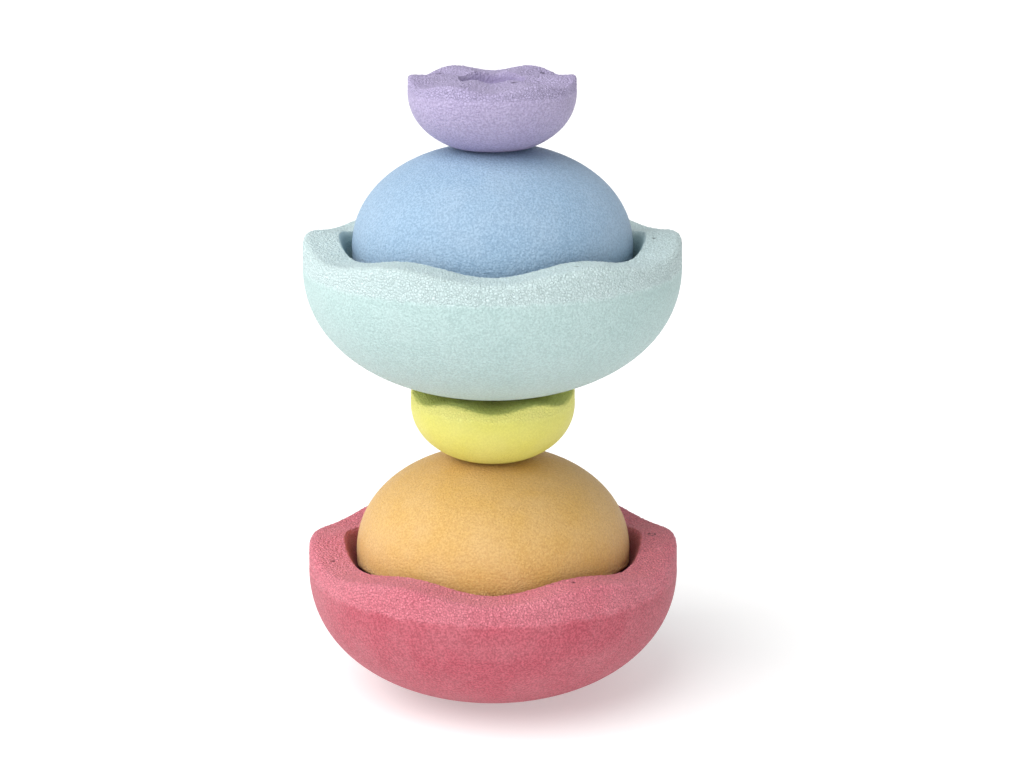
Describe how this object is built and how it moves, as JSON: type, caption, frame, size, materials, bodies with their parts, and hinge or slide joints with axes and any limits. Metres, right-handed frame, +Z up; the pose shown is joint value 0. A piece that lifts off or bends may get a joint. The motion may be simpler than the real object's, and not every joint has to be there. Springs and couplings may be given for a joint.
{
  "type": "stacking stone tower",
  "caption": "Tower of thick foam stacking stones: wavy-rimmed bowls and upturned domes in graded sizes, resting on one another and lifting off one by one.",
  "frame": {"origin": "on the floor, at the middle of the lowest stone's foot", "axes": "+Z up along the tower; -Y is the front, where every bowl's rim has a dip; +X to the right seen from the front"},
  "size_m": [0.275, 0.275, 0.4599],
  "materials": {
    "red_foam": "matte moulded bead foam, coarse on the rim and fine on the dome",
    "orange_foam": "matte moulded bead foam, coarse on the rim and fine on the dome",
    "yellow_foam": "matte moulded bead foam, coarse on the rim and fine on the dome",
    "mint_foam": "matte moulded bead foam, coarse on the rim and fine on the dome",
    "blue_foam": "matte moulded bead foam, coarse on the rim and fine on the dome",
    "lilac_foam": "matte moulded bead foam, coarse on the rim and fine on the dome"
  },
  "bodies": {
    "red_bowl": {"red_bowl": "red_foam"},
    "orange_dome": {"orange_dome": "orange_foam"},
    "yellow_bowl": {"yellow_bowl": "yellow_foam"},
    "mint_bowl": {"mint_bowl": "mint_foam"},
    "blue_dome": {"blue_dome": "blue_foam"},
    "lilac_bowl": {"lilac_bowl": "lilac_foam"}
  },
  "joints": [
    {"name": "orange_lift", "type": "slide", "parent": "red_bowl", "child": "orange_dome", "axis": [0, 0, 1], "range_m": [0, 0.12]},
    {"name": "yellow_lift", "type": "slide", "parent": "orange_dome", "child": "yellow_bowl", "axis": [0, 0, 1], "range_m": [0, 0.08]},
    {"name": "mint_lift", "type": "slide", "parent": "yellow_bowl", "child": "mint_bowl", "axis": [0, 0, 1], "range_m": [0, 0.08]},
    {"name": "blue_lift", "type": "slide", "parent": "mint_bowl", "child": "blue_dome", "axis": [0, 0, 1], "range_m": [0, 0.12]},
    {"name": "lilac_lift", "type": "slide", "parent": "blue_dome", "child": "lilac_bowl", "axis": [0, 0, 1], "range_m": [0, 0.08]}
  ]
}
